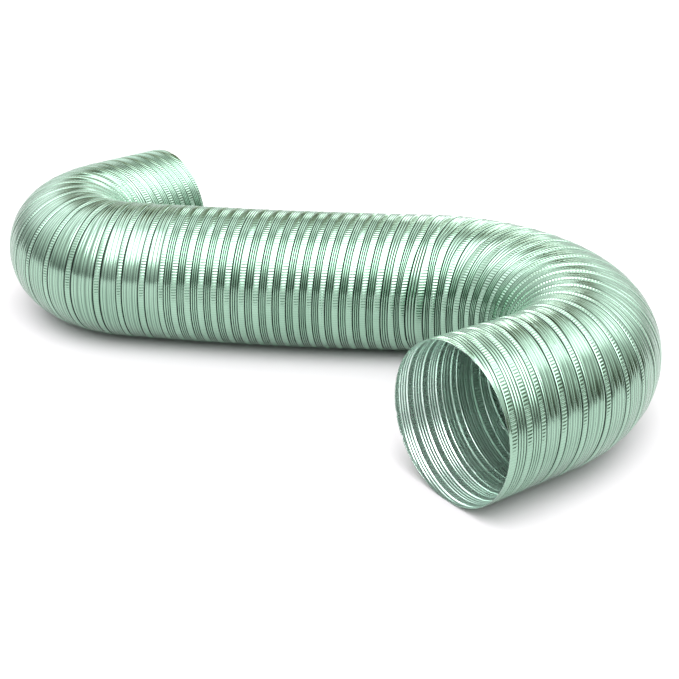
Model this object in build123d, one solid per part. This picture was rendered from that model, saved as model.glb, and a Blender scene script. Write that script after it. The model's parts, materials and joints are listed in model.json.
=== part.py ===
from build123d import *
import os
from math import cos, degrees, radians, sin

# A semi-rigid flexible air duct, lying on a flat surface in a loose S with all its curves level.
# It is wound from one aluminium strip. Each turn is locked to the next by a folded seam that
# stands out of the thin wall. The wall flexes between turns, so the duct is divided there into
# short sections of about two turns each, and each section can open away from the next one.
# +Z is up, the surface is z = 0, and the origin is under the centre of the duct's box.

# Driving dimensions, in millimetres and degrees.
BORE_RADIUS = 50.8  # a four inch duct, which slips over a four inch collar
WALL_THICKNESS = 0.4  # the ribbed foil, smoothed out to a plain wall
SEAM_HEIGHT = 0.8  # how far a folded seam stands out of the wall
SEAM_SHARE = 0.35  # the part of each turn that its seam takes up
TURNS_PER_SECTION = 2
LEAST_GAP = 0.3  # between two sections, where they are closest

OUTER_RADIUS = BORE_RADIUS + WALL_THICKNESS + SEAM_HEIGHT

# The stretches of the duct, from the near mouth to the far mouth:
# name, number of sections, length along the middle line, turn to the left.
STRETCHES = [
    ("near_leg", 3, 70.0, 0.0),
    ("near_bend", 12, 256.0, 142.9),
    ("mid_run", 11, 226.4, -8.7),
    ("far_bend", 7, 143.5, -125.3),
    ("far_leg", 3, 63.3, 0.0),
]


def lay_out():
    """Lists each section's name, start x, start y, heading, length and bend radius.

    The heading is in degrees from +X. The bend radius is positive in a turn to the left, negative
    in a turn to the right and None in a straight section. The middle of the mid run heads for -X.
    """
    turn_before_mid = sum(turn for name, count, length, turn in STRETCHES[:2])
    heading = 180 - turn_before_mid - STRETCHES[2][3] / 2
    x, y = 0.0, 0.0
    sections = []
    for name, count, stretch_length, turn in STRETCHES:
        length = stretch_length / count
        bend_radius = stretch_length / radians(turn) if turn else None
        for number in range(1, count + 1):
            sections.append((f"{name}_{number:02d}", x, y, heading, length, bend_radius))
            chord = length
            if turn:
                chord = 2 * bend_radius * sin(length / bend_radius / 2)
            chord_heading = radians(heading + turn / count / 2)
            x += chord * cos(chord_heading)
            y += chord * sin(chord_heading)
            heading += turn / count
    return sections


def ring(radius, start, length, bend_radius):
    """A ring of tube wall, from start to start + length along a middle line that leaves along +X."""
    wall = Plane.YZ * (Circle(radius) - Circle(BORE_RADIUS))
    if bend_radius is None:
        return Pos(start, 0, 0) * extrude(wall, length)
    axis = Axis((0, bend_radius, 0), (0, 0, 1 if bend_radius > 0 else -1))
    first_face = wall.rotate(axis, degrees(start / abs(bend_radius)))
    return revolve(first_face, axis, degrees(length / abs(bend_radius)))


def section(length, bend_radius):
    """One section: plain wall and raised seams by turns, cut short at both ends by half the gap."""
    trim = LEAST_GAP / 2
    if bend_radius is not None:
        trim *= abs(bend_radius) / (abs(bend_radius) - OUTER_RADIUS)
    turn_length = length / TURNS_PER_SECTION
    edges = [trim]
    for turn in range(TURNS_PER_SECTION):
        middle = (turn + 0.5) * turn_length
        edges += [middle - SEAM_SHARE * turn_length / 2, middle + SEAM_SHARE * turn_length / 2]
    edges.append(length - trim)
    rings = []
    for place, (start, end) in enumerate(zip(edges, edges[1:])):
        is_seam = place % 2 == 1
        radius = OUTER_RADIUS if is_seam else OUTER_RADIUS - SEAM_HEIGHT
        rings.append(ring(radius, start, end - start, bend_radius))
    return rings[0].fuse(*rings[1:])


def build():
    """Makes every section in its place, with the origin under the centre of the whole duct's box."""
    placed = []
    for name, x, y, heading, length, bend_radius in lay_out():
        place = Pos(x, y, OUTER_RADIUS) * Rot(0, 0, heading)
        placed.append((name, place * section(length, bend_radius)))
    box = Compound([shape for name, shape in placed]).bounding_box()
    to_origin = Pos(-box.center().X, -box.center().Y, 0)
    return [(name, to_origin * shape) for name, shape in placed], to_origin


NODES, TO_ORIGIN = build()

os.makedirs("parts", exist_ok=True)
for node, shape in NODES:
    export_step(shape, f"parts/{node}.step")
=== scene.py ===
import json
import math

import bpy
import numpy as np
from mathutils import Matrix, Vector


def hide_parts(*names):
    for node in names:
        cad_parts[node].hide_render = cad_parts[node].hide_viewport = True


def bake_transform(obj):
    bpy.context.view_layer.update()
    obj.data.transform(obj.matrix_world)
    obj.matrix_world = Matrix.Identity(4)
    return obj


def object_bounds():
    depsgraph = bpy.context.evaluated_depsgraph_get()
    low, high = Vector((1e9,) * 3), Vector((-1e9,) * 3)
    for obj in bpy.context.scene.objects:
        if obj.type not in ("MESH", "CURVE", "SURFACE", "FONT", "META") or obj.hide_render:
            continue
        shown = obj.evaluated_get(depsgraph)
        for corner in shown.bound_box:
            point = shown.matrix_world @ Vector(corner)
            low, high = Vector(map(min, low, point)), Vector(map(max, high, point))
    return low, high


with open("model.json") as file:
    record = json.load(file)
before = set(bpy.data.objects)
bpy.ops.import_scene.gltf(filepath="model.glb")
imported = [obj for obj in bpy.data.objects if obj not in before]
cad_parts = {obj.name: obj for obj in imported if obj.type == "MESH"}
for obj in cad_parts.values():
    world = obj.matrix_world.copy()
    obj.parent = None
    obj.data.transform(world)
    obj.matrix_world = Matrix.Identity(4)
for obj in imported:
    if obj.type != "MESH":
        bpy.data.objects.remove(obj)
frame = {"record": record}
cad_low, cad_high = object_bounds()
MM = 0.001

# ---------------------------------------------------------------- the duct's driving dimensions
# Lengths are in metres. The stretches are the ones that the sections of the duct make up, from
# the near mouth to the far one: name, number of sections, length, turn to the left in degrees.
STRETCHES = [
    ("near_leg", 3, 0.0700, 0.0),
    ("near_bend", 12, 0.2560, 142.9),
    ("mid_run", 11, 0.2264, -8.7),
    ("far_bend", 7, 0.1435, -125.3),
    ("far_leg", 3, 0.0633, 0.0),
]
# How far apart the turns are, and by how much they lag behind the middle line's heading as they
# lean. The duct was pulled open and bent by hand, so neither is even.
PITCHES = [  # distance from the near mouth, distance from one turn to the next, both in mm
    (0, 11.5), (32, 11.5), (46, 17.5), (66, 19.0), (84, 14.5), (200, 15.5), (230, 17.5),
    (290, 16.0), (330, 12.0), (348, 10.3), (505, 10.3), (518, 14.0), (535, 16.0), (552, 14.5),
    (690, 14.0), (710, 11.0), (760, 11.0),
]
LEANS = [  # distance from the near mouth in mm, lag in degrees
    (0, 8), (60, 8), (120, 15), (200, 10), (250, 13), (310, 15), (345, 14), (440, 5.5), (510, 1.5),
    (555, 3), (580, 1), (620, -6), (660, -9), (700, -12), (745, -10), (760, -10),
]
LEAST_STRETCH = 0.75  # limits how far a turn leans on the inside of a bend
UNEVEN_TURNS = [(0.045, 0.083, 1.0), (0.022, 0.0371, 2.0)]  # share of a turn, wavelength, phase
TEETH = 158  # crimps round one turn of the seam
SAMPLES_PER_TOOTH = 4
FOIL = 0.00015  # thickness of the wall, as drawn
HEM = 0.0004  # how much thicker the cut edge is than the wall
MOUTH_TRIM = 0.0006  # the cut edge stands this far inside the CAD wall's end
START_PHASE = 0.20  # where in a turn the near mouth cuts the strip, at its right-hand side
TABLE_STEP = 0.0001  # of the tables along the middle line
BEYOND = 0.03  # how far those go on past the mouths
SOFTENED_OVER = 0.012  # the curvature and the leans change over this distance to either side

RADIUS = (cad_high.z - cad_low.z) / 2  # over the seams

mounts = {mount["name"]: mount for mount in frame["record"]["mounts"]}


# ---------------------------------------------------------------- the middle line
class MiddleLine:
    """The duct's middle line, as tables over the distance s from the near mouth."""

    def __init__(self, start, axis_out):
        self.length = sum(length for name, count, length, turn in STRETCHES)
        step = TABLE_STEP
        self.s = np.arange(-BEYOND, self.length + BEYOND, step)
        curvature = np.zeros_like(self.s)
        at = 0.0
        for name, count, length, turn in STRETCHES:
            inside = (self.s + step / 2 >= at) & (self.s + step / 2 < at + length)
            curvature[inside] = math.radians(turn) / length
            at += length
        first = math.atan2(-axis_out[1], -axis_out[0])
        turned = np.concatenate(([0.0], np.cumsum(curvature[:-1]) * step))
        self.heading = first + turned
        middle_heading = self.heading + curvature * step / 2
        x = np.concatenate(([0.0], np.cumsum(np.cos(middle_heading[:-1])) * step))
        y = np.concatenate(([0.0], np.cumsum(np.sin(middle_heading[:-1])) * step))
        self.x = x - np.interp(0.0, self.s, x) + start[0]
        self.y = y - np.interp(0.0, self.s, y) + start[1]
        spread = int(SOFTENED_OVER / step)
        window = np.ones(2 * spread + 1) / (2 * spread + 1)
        self.soft_curvature = np.convolve(curvature, window, mode="same")
        at_lean, lean = np.array(LEANS, float).T
        slope = np.tan(np.radians(np.interp(self.s, at_lean * MM, lean)))
        self.lean_slope = np.convolve(slope, window, mode="same")

    def at(self, s):
        return (
            np.interp(s, self.s, self.x),
            np.interp(s, self.s, self.y),
            np.interp(s, self.s, self.heading),
        )

    def point(self, s):
        x, y = self.at(s)[:2]
        return Vector((float(x), float(y), RADIUS))

    def on_wall(self, s, angle):
        """Where the turn that crosses the middle line at s meets the wall, as it leans.

        Inside a bend a turn leans less than its plane would, so that it still runs round the duct
        once the bend is opened.
        """
        right = RADIUS * np.cos(angle)
        stretch = 1 + np.interp(s, self.s, self.soft_curvature) * right
        slope = np.interp(s, self.s, self.lean_slope)
        return s - right * slope / np.maximum(stretch, LEAST_STRETCH)


line = MiddleLine(mounts["near_mouth"]["pos_m"], mounts["near_mouth"]["axis"])

# How many turns have been wound at each distance, with a little unevenness.
at_pitch, pitch_here = np.array(PITCHES, float).T * MM
turns_wound = np.cumsum(np.gradient(line.s) / np.interp(line.s, at_pitch, pitch_here))
turns_wound = turns_wound - np.interp(0.0, line.s, turns_wound)
for share_of_turn, wavelength, phase in UNEVEN_TURNS:
    turns_wound = turns_wound + share_of_turn * np.sin(2 * np.pi * line.s / wavelength + phase)


def place_of_turn(turn):
    return np.interp(turn, turns_wound, line.s)


# ---------------------------------------------------------------- one turn's profile
SEAM_WIDTH = 5.7 * MM  # the seam and its shoulders, while the duct is closed up
CLOSED_PITCH = 10.4 * MM
OPENING = 4.5 * MM  # once a turn is this much longer, its ribs lie nearly flat
LIP = 2.0 * MM  # at a mouth the ribs are pressed smooth over this distance
LIP_FADE = 2.4 * MM  # and come back over this one
LIP_DEPTH = 0.22 * MM
PRESSED = 1.5 * MM  # the crimps come back over this distance
SEAM_NARROWS = 0.7 * MM  # by how much the seam's band narrows as its turn opens
STANDING_CHANGE = 14 * MM  # a change of pitch this large would flatten the ribs or double them
STANDING_RANGE = (0.85, 1.1)
NOTCH_DEPTH = 1.05 * MM  # beside the seam
GROOVE_DEPTH = 1.0 * MM  # between ribs
GROOVE_OPENS = 0.42  # the share of a groove that is lost as its turn opens
CREASE_DEPTH = 0.42 * MM  # in the middle of an opened rib
LYING_DEPTH = 0.06 * MM  # how much lower an opened rib lies
CROWN_DEPTH = 0.05 * MM  # of the seam's middle, below the outer radius
SHOULDER_SAG = 0.18 * MM  # how much lower the seam's shoulders are than its middle
RIB_DEPTH = 0.12 * MM  # of a rib's crest
RIB_SHOULDER = 0.09  # how much lower a rib's shoulders are, in mm
SEAM_ROWS = [  # share of the seam's width, part in the crimps
    (0.11, 0.0), (0.15, 0.6), (0.36, 1.0), (0.58, 1.0), (0.79, 0.6), (0.85, 0.0), (0.93, 0.0),
]
SEAM_MIDDLE, SHOULDER_AT = 0.48, 0.36
NOTCH_EDGE = (0.06, 0.70)  # share of the seam's width, share of the notch's depth
RIB_ROWS = [  # share of the rib's width, drop below its crest in mm
    (0.25, RIB_SHOULDER), (0.41, 0.0), (0.50, 0.0), (0.59, 0.0), (0.75, RIB_SHOULDER),
]
CREASE_AT = 0.50


def profile(pitch):
    """The rows across one turn, as (share of the turn, depth below the outer radius, crimp).

    pitch is an array, the local distance from turn to turn. A turn is the crimped seam and three
    ribs. Where the pitch grows, on the outside of a bend, the ribs lie down and each of them gets a
    shallow crease. Where it shrinks, they all stand up. crimp is how far a row takes part in the
    crimps of the seam, from 0 to 1.
    """
    opened = np.clip((pitch - CLOSED_PITCH) / OPENING, 0.0, 1.0)
    squeezed = np.clip(pitch / CLOSED_PITCH, 0.0, 1.0)
    seam = (SEAM_WIDTH - SEAM_NARROWS * opened) * squeezed / pitch
    standing = np.clip(1.0 + (CLOSED_PITCH - pitch) / STANDING_CHANGE, *STANDING_RANGE)
    notch = NOTCH_DEPTH * standing
    groove = GROOVE_DEPTH * standing * (1 - GROOVE_OPENS * opened)
    rib = RIB_DEPTH + LYING_DEPTH * opened
    rows = [(0.0 * pitch, notch, 0.0), (seam * NOTCH_EDGE[0], notch * NOTCH_EDGE[1], 0.0)]
    for share, crimp in SEAM_ROWS:
        sag = SHOULDER_SAG * ((share - SEAM_MIDDLE) / SHOULDER_AT) ** 2
        rows.append((seam * share, CROWN_DEPTH + sag + 0.0 * pitch, crimp))
    for number, valley in enumerate((notch, groove, groove)):
        low, high = (seam + (1 - seam) * third / 3 for third in (number, number + 1))
        rows.append((low, valley, 0.0))
        for share, drop in RIB_ROWS:
            sink = CREASE_DEPTH * opened if share == CREASE_AT else 0.0
            rows.append((low + (high - low) * share, rib + drop * MM + sink, 0.0))
    return rows


# ---------------------------------------------------------------- the wound strip, unrolled
CLOSED_PROFILE = profile(np.array([CLOSED_PITCH]))
ROWS = len(CLOSED_PROFILE)
CRIMPED = [row for row, (share, depth, crimp) in enumerate(CLOSED_PROFILE) if crimp]
TOOTH_DEPTH = 0.24 * MM
SEAM_LAYERS = 0.55 * MM  # the folded seam is four layers of strip, which thicken it inwards
FOLDED = (0.5, 1.0, 0.25, 0.9)  # how much of that there is at each crimped row, with a fold's step
INSIDE_WAVE = 0.6  # how much of a crimp shows inside


def smooth_step(x):
    x = np.clip(x, 0.0, 1.0)
    return x * x * (3 - 2 * x)


def unroll():
    """The strip as an array of triangles and one of fields, a row to a vertex.

    The fields are s, turns wound, depth, share of the turn and added thickness of the seam.
    """
    first_turn = int(np.floor(turns_wound[0])) + 1
    last_turn = int(np.ceil(turns_wound[-1])) - 1
    columns = np.arange(first_turn * TEETH, last_turn * TEETH + 1)
    fine = np.arange(columns[0] * SAMPLES_PER_TOOTH, columns[-1] * SAMPLES_PER_TOOTH + 1)
    base, s_all, wound_all, depth_all, share_all, layers_all = [], [], [], [], [], []
    count = 0
    for row in range(ROWS):
        crimped = row in CRIMPED
        wound = (fine / SAMPLES_PER_TOOTH if crimped else columns.astype(float)) / TEETH
        angle = 2 * np.pi * wound
        start = line.on_wall(place_of_turn(wound - START_PHASE), angle)
        stop = line.on_wall(place_of_turn(wound + 1 - START_PHASE), angle)
        bend = np.interp((start + stop) / 2, line.s, line.soft_curvature) * RADIUS * np.cos(angle)
        share, depth, crimp = profile((stop - start) * (1 + bend))[row]
        s = line.on_wall(place_of_turn(wound + share - START_PHASE), angle)
        from_mouth = np.minimum(s, line.length - s)
        layers = np.zeros_like(s)
        if crimped:
            low = (fine % SAMPLES_PER_TOOTH) >= SAMPLES_PER_TOOTH // 2
            tooth = np.where(low, TOOTH_DEPTH * crimp * smooth_step(from_mouth / PRESSED), 0.0)
            depth = depth + tooth
            layers = SEAM_LAYERS * FOLDED[CRIMPED.index(row)] - tooth * (1 - INSIDE_WAVE)
        else:
            depth = LIP_DEPTH + (depth - LIP_DEPTH) * smooth_step((from_mouth - LIP) / LIP_FADE)
        base.append(count)
        count += len(wound)
        s_all.append(s)
        wound_all.append(wound)
        depth_all.append(depth)
        share_all.append(np.broadcast_to(share, s.shape))
        layers_all.append(layers)
    ribbon = np.arange(len(columns) - 1)
    triangles = []

    def quads(a, b, c, d):
        triangles.append(np.stack([a, b, c], 1))
        triangles.append(np.stack([a, c, d], 1))

    for row in range(ROWS):
        following = (row + 1) % ROWS
        ahead = TEETH if following == 0 else 0
        if row in CRIMPED and following in CRIMPED:
            step = np.arange(len(fine) - 1)
            a, b = base[row] + step, base[following] + step
            quads(a, a + 1, b + 1, b)
            continue
        if row in CRIMPED or following in CRIMPED:
            coarse_row, fine_row = (following, row) if row in CRIMPED else (row, following)
            flip = row in CRIMPED
            c0 = base[coarse_row] + ribbon
            f0 = base[fine_row] + ribbon * SAMPLES_PER_TOOTH
            fans = [(c0, f0 + 1, f0), (c0, f0 + 2, f0 + 1), (c0, c0 + 1, f0 + 2)]
            fans += [(c0 + 1, f0 + 3, f0 + 2), (c0 + 1, f0 + 4, f0 + 3)]
            for a, b, c in fans:
                triangles.append(np.stack([a, c, b] if flip else [a, b, c], 1))
            continue
        step = ribbon[: len(ribbon) - ahead]
        a, b = base[row] + step, base[following] + step + ahead
        quads(a, a + 1, b + 1, b)
    columns = (s_all, wound_all, depth_all, share_all, layers_all)
    return np.stack([np.concatenate(x) for x in columns], 1), np.concatenate(triangles)


NICKS = [(125, 1.6, 0.8), (196, 1.3, 0.7), (213, 1.8, 0.9), (290, 1.2, 0.5)]  # place, width, depth
MOUTH_ZONE = 5 * MM  # the strip is cut to its edge within this distance
FAR_EDGE_TURN = 2.0  # by how much the far edge's pattern is turned, in radians


def cut_edge(angle):
    """How far in from its mouth the strip's cut edge lies: a little wavy, with a few nicks."""
    wave = 0.10 * MM * (1 + np.sin(3 * angle + 0.5)) + 0.05 * MM * (1 + np.sin(11 * angle))
    for place, width, depth in NICKS:
        away = (np.degrees(angle) - place + 180) % 360 - 180
        wave = wave + depth * MM * np.exp(-((away / width) ** 2))
    return wave


def cut(fields, triangles, bounds):
    """Cuts the triangles along the lines of constant s, so that each lies on one side of them."""
    s = fields[:, 0].copy()
    angle = 2 * np.pi * fields[:, 1]
    near_end, far_end = s < MOUTH_ZONE, s > line.length - MOUTH_ZONE
    s[near_end] -= cut_edge(angle[near_end])
    s[far_end] += cut_edge(angle[far_end] + FAR_EDGE_TURN)
    span = np.searchsorted(bounds, s)
    corner = span[triangles]
    low, high = corner.min(1), corner.max(1)
    whole = triangles[low == high]
    crossing = triangles[low != high]
    place = bounds[span[crossing].min(1)]
    above = s[crossing] > place[:, None]
    odd_is_above = above.sum(1) == 1
    odd = np.where(odd_is_above, above.argmax(1), (~above).argmax(1))
    index = np.arange(len(crossing))
    a = crossing[index, odd]
    b = crossing[index, (odd + 1) % 3]
    c = crossing[index, (odd + 2) % 3]
    edges = np.concatenate([np.stack([a, b], 1), np.stack([a, c], 1)])
    edges.sort(axis=1)
    unique, back = np.unique(edges, axis=0, return_inverse=True)
    where = np.concatenate([place, place])[np.unique(back, return_index=True)[1]]
    t = (where - s[unique[:, 0]]) / (s[unique[:, 1]] - s[unique[:, 0]])
    first, second = fields[unique[:, 0]], fields[unique[:, 1]]
    turns_apart = np.round(second[:, 1] - first[:, 1])  # an edge across the seam joins two turns
    second[:, 1] -= turns_apart
    second[:, 3] += turns_apart
    added = first * (1 - t)[:, None] + second * t[:, None]
    back = back.ravel() + len(fields)
    ab, ac = back[: len(crossing)], back[len(crossing) :]
    pieces = [np.stack([a, ab, ac], 1), np.stack([ab, b, c], 1), np.stack([ab, c, ac], 1)]
    fields = np.concatenate([fields, added])
    triangles = np.concatenate([whole] + pieces)
    s_new = np.concatenate([s, where])
    return fields, triangles, np.searchsorted(bounds, s_new[triangles].mean(1))


# ---------------------------------------------------------------- from unrolled to round
def unevenness(s, angle):
    """Small dents and out-of-round, in metres, never outwards."""
    slow = np.sin(2 * angle + 31 * s) + np.sin(3 * angle - 53 * s + 1.7)
    quick = np.sin(7 * angle + 190 * s + 0.4) * np.sin(5 * angle - 260 * s)
    return -0.05 * MM * (2 + slow) * 0.5 - 0.04 * MM * (1 + quick)


def round_up(fields, inward=0.0):
    s, wound, depth = fields[:, 0], fields[:, 1], fields[:, 2]
    angle = 2 * np.pi * wound
    x, y, heading = line.at(s)
    reach = RADIUS - depth + unevenness(s, angle) - inward
    across, up = reach * np.cos(angle), reach * np.sin(angle)
    return np.stack([x + np.sin(heading) * across, y - np.cos(heading) * across, RADIUS + up], 1)


def vertex_normals(points, triangles):
    a, b, c = (points[triangles[:, i]] for i in range(3))
    face = np.cross(b - a, c - a)
    normals = np.zeros_like(points)
    for i in range(3):
        for k in range(3):
            normals[:, k] += np.bincount(triangles[:, i], face[:, k], len(points))
    return normals / np.maximum(np.linalg.norm(normals, axis=1), 1e-20)[:, None]


def add_mesh(name, points, triangles, normals, attributes):
    mesh = bpy.data.meshes.new(name)
    mesh.vertices.add(len(points))
    mesh.vertices.foreach_set("co", points.astype(np.float32).ravel())
    mesh.loops.add(triangles.size)
    mesh.loops.foreach_set("vertex_index", triangles.astype(np.int32).ravel())
    mesh.polygons.add(len(triangles))
    mesh.polygons.foreach_set("loop_start", np.arange(0, triangles.size, 3, dtype=np.int32))
    mesh.update(calc_edges=True)
    mesh.polygons.foreach_set("use_smooth", np.ones(len(triangles), bool))
    for key, values in attributes.items():
        kind, field = ("FLOAT_VECTOR", "vector") if values.ndim == 2 else ("FLOAT", "value")
        attribute = mesh.attributes.new(key, kind, "POINT")
        attribute.data.foreach_set(field, values.astype(np.float32).ravel())
    mesh.normals_split_custom_set_from_vertices(normals.astype(np.float32).tolist())
    piece = bpy.data.objects.new(name, mesh)
    bpy.context.scene.collection.objects.link(piece)
    return piece


HEM_WIDTH = 1.2 * MM
DEEPEST = 1.05 * MM  # what is a groove outside is a ridge inside, and the other way round
INSIDE_GROOVE_SHADE = 0.44  # as a share of the painted shade in the grooves outside
COLOUR_PITCH = 10.5 * MM  # the streaks are spread over this much to a turn


def shell(name, fields, outer, normals, triangles):
    """A closed thin piece of wall: the outer face, the inner face, and the rims that join them."""
    used, local = np.unique(triangles, return_inverse=True)
    local = local.reshape(triangles.shape)
    n = len(used)
    part = fields[used]
    s, depth = part[:, 0], part[:, 2]
    from_mouth = np.minimum(s, line.length - s)
    thickness = FOIL + HEM * np.clip(1 - from_mouth / HEM_WIDTH, 0.0, 1.0)
    inner = round_up(part, thickness + part[:, 4])
    directed = np.concatenate([local[:, [0, 1]], local[:, [1, 2]], local[:, [2, 0]]])
    key = np.sort(directed, 1)
    code = key[:, 0].astype(np.int64) * n + key[:, 1]
    first, times = np.unique(code, return_index=True, return_counts=True)[1:]
    rim = directed[first[times == 1]]
    points = np.concatenate([outer[used], inner])
    faces = np.concatenate(
        [
            local,
            local[:, ::-1] + n,
            np.stack([rim[:, 1], rim[:, 0], rim[:, 0] + n], 1),
            np.stack([rim[:, 1], rim[:, 0] + n, rim[:, 1] + n], 1),
        ]
    )
    normals = np.concatenate([normals[used], -normals[used]])
    angle = part[:, 1] * 2 * np.pi
    across = (part[:, 3] + part[:, 1]) * COLOUR_PITCH
    strip = np.stack([RADIUS * np.cos(angle), RADIUS * np.sin(angle), across], 1)
    attributes = {
        "strip": np.concatenate([strip, strip]),
        "place": np.concatenate([outer[used], outer[used]]),
        # groove is the depth, which the material turns into painted shade; on the inner face it is
        # weaker
        "groove": np.concatenate([depth, (DEEPEST - depth - part[:, 4]) * INSIDE_GROOVE_SHADE]) / MM,
        "inside": np.concatenate([np.zeros(n), np.ones(n)]),
    }
    return add_mesh(name, points, faces, normals, attributes)


# ---------------------------------------------------------------- aluminium
def node(tree, kind, **values):
    made = tree.nodes.new(kind)
    for key, value in values.items():
        if key in made.inputs:
            made.inputs[key].default_value = value
        else:
            setattr(made, key, value)
    return made


def remap(tree, source, low, high, to_low, to_high):
    """The socket of a Map Range node that takes source's range low to high to another one."""
    made = node(tree, "ShaderNodeMapRange")
    ends = {"From Min": low, "From Max": high, "To Min": to_low, "To Max": to_high}
    for key, value in ends.items():
        made.inputs[key].default_value = value
    tree.links.new(source, made.inputs["Value"])
    return made.outputs["Result"]


DARK_TINT, PALE_TINT = (0.305, 0.487, 0.368, 1), (0.385, 0.588, 0.456, 1)
# painted light: the inner face gets this paler tint so that the inside of the tube looks lit
INSIDE_TINT = (0.76, 0.95, 0.85, 1)
STREAKS = (14.0, 14.0, 2600.0)  # how often they change round, round and across the strip


def foil_material():
    """Bright rolled aluminium foil, with fine streaks, smudges, and painted shade that darkens the
    grooves.
    """
    material = bpy.data.materials.new("rolled_foil")
    material.use_nodes = True
    tree = material.node_tree
    tree.nodes.clear()
    link = tree.links.new
    output = node(tree, "ShaderNodeOutputMaterial")
    shader = node(tree, "ShaderNodeBsdfPrincipled")
    link(shader.outputs["BSDF"], output.inputs["Surface"])
    strip = node(tree, "ShaderNodeAttribute", attribute_name="strip")
    place = node(tree, "ShaderNodeAttribute", attribute_name="place")
    groove = node(tree, "ShaderNodeAttribute", attribute_name="groove")
    inside = node(tree, "ShaderNodeAttribute", attribute_name="inside")

    stretch = node(tree, "ShaderNodeVectorMath", operation="MULTIPLY")
    stretch.inputs[1].default_value = STREAKS
    link(strip.outputs["Vector"], stretch.inputs[0])
    streaks = node(tree, "ShaderNodeTexNoise", Scale=1.0, Detail=4.0, Roughness=0.6)
    link(stretch.outputs["Vector"], streaks.inputs["Vector"])
    smudges = node(tree, "ShaderNodeTexNoise", Scale=28.0, Detail=3.0, Roughness=0.55)
    link(place.outputs["Vector"], smudges.inputs["Vector"])
    specks = node(tree, "ShaderNodeTexNoise", Scale=900.0, Detail=2.0, Roughness=0.5)
    link(place.outputs["Vector"], specks.inputs["Vector"])

    tint = node(tree, "ShaderNodeValToRGB")
    tint.color_ramp.elements[0].position = 0.30
    tint.color_ramp.elements[0].color = DARK_TINT
    tint.color_ramp.elements[1].position = 0.72
    tint.color_ramp.elements[1].color = PALE_TINT
    link(smudges.outputs["Fac"], tint.inputs["Fac"])
    shade = node(tree, "ShaderNodeMath", operation="MULTIPLY")
    link(remap(tree, streaks.outputs["Fac"], 0.3, 0.7, 0.90, 1.06), shade.inputs[0])
    # painted shade: the deeper a groove, the darker its colour, down to 7 % from 0.66 mm deep
    link(remap(tree, groove.outputs["Fac"], 0.26, 0.66, 1.0, 0.07), shade.inputs[1])
    # painted light: the inner face takes the paler INSIDE_TINT in place of the outer tint
    inside_painted_light = node(tree, "ShaderNodeMix", data_type="RGBA")
    inside_painted_light.inputs["B"].default_value = INSIDE_TINT
    link(inside.outputs["Fac"], inside_painted_light.inputs["Factor"])
    link(tint.outputs["Color"], inside_painted_light.inputs["A"])
    colour = node(tree, "ShaderNodeVectorMath", operation="SCALE")
    link(inside_painted_light.outputs["Result"], colour.inputs[0])
    link(shade.outputs["Value"], colour.inputs["Scale"])
    link(colour.outputs["Vector"], shader.inputs["Base Color"])
    dull = node(tree, "ShaderNodeMath", operation="MULTIPLY_ADD")
    dull.inputs[1].default_value = -0.10
    dull.inputs[2].default_value = 1.0
    link(inside.outputs["Fac"], dull.inputs[0])
    link(dull.outputs["Value"], shader.inputs["Metallic"])

    rough = remap(tree, smudges.outputs["Fac"], 0.25, 0.75, 0.13, 0.24)
    duller = node(tree, "ShaderNodeMath", operation="MULTIPLY_ADD")
    duller.inputs[1].default_value = 0.10
    link(inside.outputs["Fac"], duller.inputs[0])
    link(rough, duller.inputs[2])
    link(duller.outputs["Value"], shader.inputs["Roughness"])

    height = node(tree, "ShaderNodeMath", operation="MULTIPLY_ADD")
    height.inputs[1].default_value = 0.35
    link(specks.outputs["Fac"], height.inputs[0])
    link(streaks.outputs["Fac"], height.inputs[2])
    bump = node(tree, "ShaderNodeBump", Strength=0.25, Distance=0.00006)
    link(height.outputs["Value"], bump.inputs["Height"])
    link(bump.outputs["Normal"], shader.inputs["Normal"])
    return material


foil = foil_material()


# ---------------------------------------------------------------- the pieces of wall
def sections():
    """Each section's name with the place of its middle, from the near mouth to the far one."""
    found, at = [], 0.0
    for name, count, length, turn in STRETCHES:
        for number in range(count):
            middle = at + length * (number + 0.5) / count
            found.append((f"{name}_{number + 1:02d}", middle))
        at += length
    return found


def finish_piece(piece, material):
    piece.data.materials.append(material)


def build_wall():
    names = sections()
    ends = [MOUTH_TRIM] + [middle for name, middle in names[1:-1]] + [line.length - MOUTH_TRIM]
    fields, triangles, span = cut(*unroll(), np.array(ends))
    outer = round_up(fields)
    kept = (span >= 1) & (span <= len(ends) - 1)
    normals = vertex_normals(outer, triangles[kept])
    for number in range(len(ends) - 1):
        (body_a, middle_a), (body_b, middle_b) = names[number], names[number + 1]
        own = triangles[span == number + 1]
        piece = shell(f"wall_{number + 1:02d}", fields, outer, normals, own)
        finish_piece(piece, foil)
        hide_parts(body_a, *([body_b] if number == len(ends) - 2 else []))
        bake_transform(piece)


build_wall()


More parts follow.
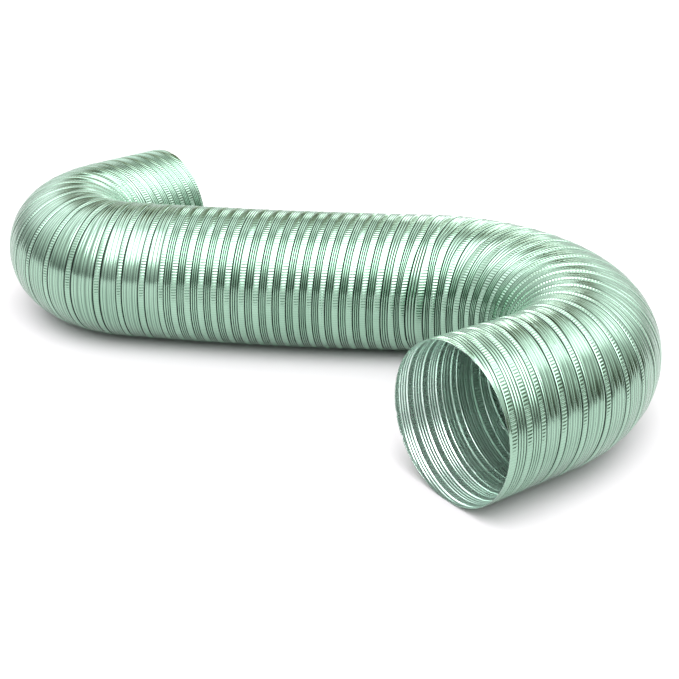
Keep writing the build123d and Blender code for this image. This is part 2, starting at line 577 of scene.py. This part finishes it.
# ---------------------------------------------------------------- camera, light and floor
ROOM = 1.20  # radiance of the room's walls and ceiling
HORIZON = 0.36  # radiance of what stands round the table
HORIZON_FADE = (0.04, 0.60)  # heights of direction between which the one becomes the other
DIMMEST = (0.04, 0.04, 0.04)  # no direction is darker than this
SOFTBOXES = [  # direction, how far from its middle each fades out in degrees, radiance, colour
    ((0.01, -0.50, 0.865), 38, 5.2, (1.05, 1.0, 1.05)),
    ((0.52, 0.24, 0.82), 17, 2.0, (1.05, 1.0, 1.05)),
    ((0.36, 0.50, 0.79), 15, 1.6, (1.05, 1.0, 1.05)),
    ((0.64, 0.46, 0.62), 18, 1.5, (1.10, 1.0, 1.10)),
    ((-0.64, 0.40, 0.66), 30, 0.9, (1.20, 1.0, 1.20)),
    ((-0.46, 0.50, 0.74), 12, 0.8, (1.10, 1.0, 1.10)),
    ((-0.15, 0.57, 0.80), 22, -0.95, (1.0, 1.0, 1.12)),  # a long gap between the lights
    ((-0.11, 0.83, 0.55), 23, -1.05, (1.0, 1.0, 1.12)),
    ((-0.14, 1.0, 0.10), 62, 0.68, (1.0, 1.0, 1.0)),  # pale paper behind
    ((0.68, 0.73, 0.11), 24, 0.38, (0.9, 1.0, 0.9)),
    ((-0.05, -0.96, 0.14), 45, 0.12, (1.0, 1.0, 1.0)),  # and in front
    ((1.0, 0.06, 0.03), 36, -0.30, (1.02, 1.0, 1.15)),  # darker to the right
]
CAMERA_TURN = (5.358, 24.283, 0.684)  # azimuth, elevation and roll in degrees
CAMERA_LENS = 63.85  # mm, on a 36 mm sensor
CAMERA_DISTANCE = 15.714  # outer radii
CAMERA_AIM = (1.171, -2.076, 0)  # from the middle of the long run, in outer radii
LAMP_BEHIND = 0.165  # the place along the duct that the small lamp stands behind
LAMP_OFFSET = (-0.06, 0.44, 0.22)  # from the place that it stands behind
LAMP_SIZE = (0.24, 0.15)
LAMP_WATTS = 0.28
FLOOR_HALF = 6.0
FLOOR_COLOUR = (0.60, 0.60, 0.60, 1)
FLOOR_DROP = 0.0002  # below the duct, so that the two don't touch


def place_camera():
    """Stands in front of the near mouth, above the duct, looking down on the long run."""
    azimuth, elevation, roll = (math.radians(degrees) for degrees in CAMERA_TURN)
    mid_length = STRETCHES[2][2]
    mid = line.point(sum(stretch[2] for stretch in STRETCHES[:2]) + mid_length / 2)
    target = mid + Vector(CAMERA_AIM) * RADIUS
    back = Vector(
        (
            math.sin(azimuth) * math.cos(elevation),
            -math.cos(azimuth) * math.cos(elevation),
            math.sin(elevation),
        )
    )
    camera = bpy.data.objects.new("camera", bpy.data.cameras.new("camera"))
    bpy.context.scene.collection.objects.link(camera)
    camera.data.sensor_width = 36
    camera.data.lens = CAMERA_LENS
    camera.data.clip_start = 0.01
    camera.data.clip_end = 50
    turn = (-back).to_track_quat("-Z", "Y").to_matrix().to_4x4() @ Matrix.Rotation(roll, 4, "Z")
    camera.matrix_world = Matrix.Translation(target + back * CAMERA_DISTANCE * RADIUS) @ turn
    bpy.context.scene.camera = camera


def add_studio_light():
    """A pale room with soft lights overhead, pale paper behind and in front, and a darker right."""
    world = bpy.data.worlds.new("studio")
    bpy.context.scene.world = world
    world.use_nodes = True
    tree = world.node_tree
    link = tree.links.new
    direction = node(tree, "ShaderNodeTexCoord")
    height = node(tree, "ShaderNodeSeparateXYZ")
    link(direction.outputs["Generated"], height.inputs[0])
    level = node(tree, "ShaderNodeMapRange", interpolation_type="SMOOTHSTEP")
    level.inputs["From Min"].default_value = HORIZON_FADE[0]
    level.inputs["From Max"].default_value = HORIZON_FADE[1]
    level.inputs["To Min"].default_value = HORIZON
    level.inputs["To Max"].default_value = ROOM
    link(height.outputs["Z"], level.inputs["Value"])
    light = level.outputs["Result"]
    for towards, edge, radiance, colour in SOFTBOXES:
        facing = node(tree, "ShaderNodeVectorMath", operation="DOT_PRODUCT")
        facing.inputs[1].default_value = Vector(towards).normalized()
        link(direction.outputs["Generated"], facing.inputs[0])
        glow = node(tree, "ShaderNodeMapRange", interpolation_type="SMOOTHSTEP")
        glow.inputs["From Min"].default_value = math.cos(math.radians(edge))
        glow.inputs["To Max"].default_value = radiance
        link(facing.outputs["Value"], glow.inputs["Value"])
        total = node(tree, "ShaderNodeVectorMath", operation="MULTIPLY_ADD")
        total.inputs[1].default_value = colour
        link(glow.outputs["Result"], total.inputs[0])
        link(light, total.inputs[2])
        light = total.outputs["Vector"]
    dimmest = node(tree, "ShaderNodeVectorMath", operation="MAXIMUM")
    dimmest.inputs[1].default_value = DIMMEST
    link(light, dimmest.inputs[0])
    link(dimmest.outputs["Vector"], tree.nodes["Background"].inputs["Color"])


def add_lamp():
    """A small soft lamp behind the near bend, which lights its top and the far leg's side."""
    lamp = bpy.data.objects.new("lamp", bpy.data.lights.new("lamp", "AREA"))
    bpy.context.scene.collection.objects.link(lamp)
    lamp.data.shape = "ELLIPSE"
    lamp.data.size, lamp.data.size_y = LAMP_SIZE
    lamp.data.energy = LAMP_WATTS
    lamp.location = line.point(LAMP_BEHIND) + Vector(LAMP_OFFSET)
    towards = line.point(LAMP_BEHIND) - lamp.location
    lamp.rotation_euler = towards.to_track_quat("-Z", "Y").to_euler()
    lamp.visible_camera = False


def add_floor():
    mesh = bpy.data.meshes.new("floor")
    corners = [(-1, -1), (1, -1), (1, 1), (-1, 1)]
    corners = [(x * FLOOR_HALF, y * FLOOR_HALF, 0) for x, y in corners]
    mesh.from_pydata(corners, [], [(0, 1, 2, 3)])
    floor = bpy.data.objects.new("floor", mesh)
    bpy.context.scene.collection.objects.link(floor)
    material = bpy.data.materials.new("floor_paper")
    material.use_nodes = True
    shader = material.node_tree.nodes["Principled BSDF"]
    shader.inputs["Base Color"].default_value = FLOOR_COLOUR
    shader.inputs["Roughness"].default_value = 0.9
    mesh.materials.append(material)
    floor.location.z = -FLOOR_DROP


place_camera()
add_floor()
add_studio_light()
add_lamp()
bpy.context.scene.view_settings.view_transform = "Standard"
